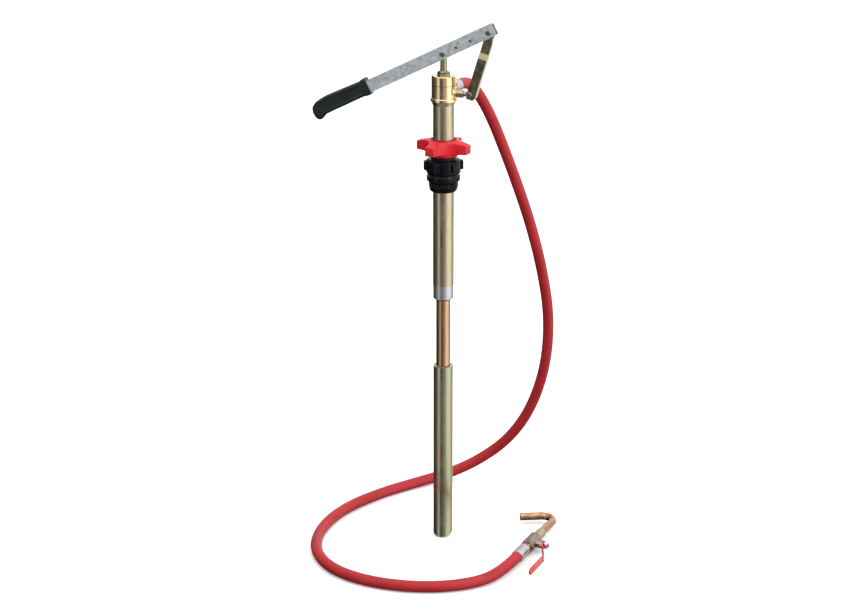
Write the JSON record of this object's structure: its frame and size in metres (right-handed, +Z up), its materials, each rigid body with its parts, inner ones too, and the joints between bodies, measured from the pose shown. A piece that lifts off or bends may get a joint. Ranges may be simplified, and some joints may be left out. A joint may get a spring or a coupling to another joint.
{
  "type": "hand lever drum pump",
  "caption": "Hand-lever drum pump with a bung adapter, a telescopic suction tube, and a delivery hose that ends in a ball valve and a bent spout.",
  "frame": {"origin": "on the pump's axis at the shoulder of the adapter's bung thread", "axes": "+Z up along the pump tube towards the lever; +X towards the lever's link end; the lever swings in the XZ plane"},
  "size_m": [0.508, 0.624, 1.0894],
  "materials": {
    "yellow_zinc": "yellow chromated zinc, satin, faint iridescence",
    "gold_zinc": "yellow chromated zinc, glossy, copper gold",
    "silver_zinc": "blue chromated zinc, satin",
    "galvanised": "hot dip galvanised, mottled",
    "plated_rod": "plated, polished",
    "bolt_steel": "zinc plated",
    "black_grip": "soft moulded, satin",
    "star_red": "moulded, semi gloss",
    "adapter_black": "moulded, glossy",
    "hose_red": "smooth rubber, slight sheen",
    "ferrule_silver": "crimped, satin",
    "valve_nickel": "nickel plated",
    "chrome_nut": "polished",
    "handle_red": "dipped vinyl coat, glossy",
    "seal_rubber": "matte",
    "white_seat": "matte",
    "bush_plastic": "matte"
  },
  "bodies": {
    "pump": {"pump_tube": "yellow_zinc", "pump_head": "yellow_zinc", "head_gasket": "seal_rubber", "head_cap": "yellow_zinc", "gland_packing": "seal_rubber", "gland_nut": "yellow_zinc", "foot_valve_housing": "silver_zinc", "foot_valve_cage": "bush_plastic", "suction_tube": "gold_zinc", "guide_bush": "bush_plastic", "anchor_eye": "yellow_zinc", "anchor_lock_nut": "yellow_zinc", "link_lower_bolt": "bolt_steel", "link_lower_nut": "bolt_steel", "outlet_nipple": "gold_zinc", "pump_ferrule": "ferrule_silver", "delivery_hose": "hose_red", "valve_ferrule": "ferrule_silver", "hose_tail": "gold_zinc", "valve_body": "valve_nickel", "valve_seats": "white_seat", "stem_packing": "white_seat", "stem_gland_nut": "valve_nickel", "spout_connector": "yellow_zinc", "outlet_spout": "gold_zinc"},
    "bung_adapter": {"bung_adapter": "adapter_black", "bung_gasket": "seal_rubber", "clamp_collet": "bush_plastic"},
    "thrust_ring": {"thrust_ring": "bush_plastic"},
    "star_nut": {"star_nut": "star_red"},
    "piston_rod": {"piston_rod": "plated_rod", "piston": "bush_plastic", "piston_cups": "seal_rubber", "piston_nut": "bolt_steel"},
    "piston_valve": {"piston_valve_disc": "bush_plastic"},
    "foot_valve": {"foot_valve_ball": "chrome_nut"},
    "lever": {"lever_channel": "galvanised", "lever_grip": "black_grip", "rod_bolt": "bolt_steel", "rod_bolt_nut": "bolt_steel", "link_upper_bolt": "bolt_steel", "link_upper_nut": "bolt_steel"},
    "link": {"link_channel": "gold_zinc"},
    "suction_sleeve": {"suction_sleeve": "yellow_zinc", "sleeve_stop_ring": "bush_plastic"},
    "outlet_valve": {"valve_ball": "chrome_nut", "valve_stem": "valve_nickel", "valve_handle": "handle_red", "handle_nut": "chrome_nut"}
  },
  "joints": [
    {"name": "lever_pivot", "type": "hinge", "parent": "piston_rod", "child": "lever", "pos_m": [0, 0, 0.2542], "axis": [0, 1, 0], "range_deg": [0, 60]},
    {"name": "piston_stroke", "type": "slide", "parent": "pump", "child": "piston_rod", "axis": [0, 0, 1], "range_m": [0, 0.104]},
    {"name": "link_swing", "type": "hinge", "parent": "pump", "child": "link", "pos_m": [0.054, 0, 0.176], "axis": [0, 1, 0], "range_deg": [-1, 0]},
    {"name": "adapter_height", "type": "slide", "parent": "pump", "child": "bung_adapter", "axis": [0, 0, 1], "range_m": [-0.18, 0.06]},
    {"name": "thrust_ring_rise", "type": "slide", "parent": "bung_adapter", "child": "thrust_ring", "axis": [0, 0, 1], "range_m": [0, 0.0016]},
    {"name": "star_nut_turn", "type": "hinge", "parent": "thrust_ring", "child": "star_nut", "pos_m": [0, 0, 0.065], "axis": [0, 0, 1], "range_deg": [0, 180]},
    {"name": "sleeve_telescope", "type": "slide", "parent": "pump", "child": "suction_sleeve", "axis": [0, 0, 1], "range_m": [0, 0.13]},
    {"name": "foot_valve_lift", "type": "slide", "parent": "pump", "child": "foot_valve", "axis": [0, 0, 1], "range_m": [0, 0.005]},
    {"name": "piston_valve_lift", "type": "slide", "parent": "piston_rod", "child": "piston_valve", "axis": [0, 0, 1], "range_m": [0, 0.004]},
    {"name": "outlet_valve_turn", "type": "hinge", "parent": "pump", "child": "outlet_valve", "pos_m": [0.19687, -0.02927, -0.754], "axis": [-0.9848, 0.1736, 0], "range_deg": [0, 90]}
  ],
  "couplings": [
    {"joint": "piston_stroke", "follows": "lever_pivot", "m_per_rad": 0.099},
    {"joint": "link_swing", "follows": "lever_pivot", "ratio": -0.015},
    {"joint": "thrust_ring_rise", "follows": "star_nut_turn", "m_per_rad": 0.000477}
  ]
}
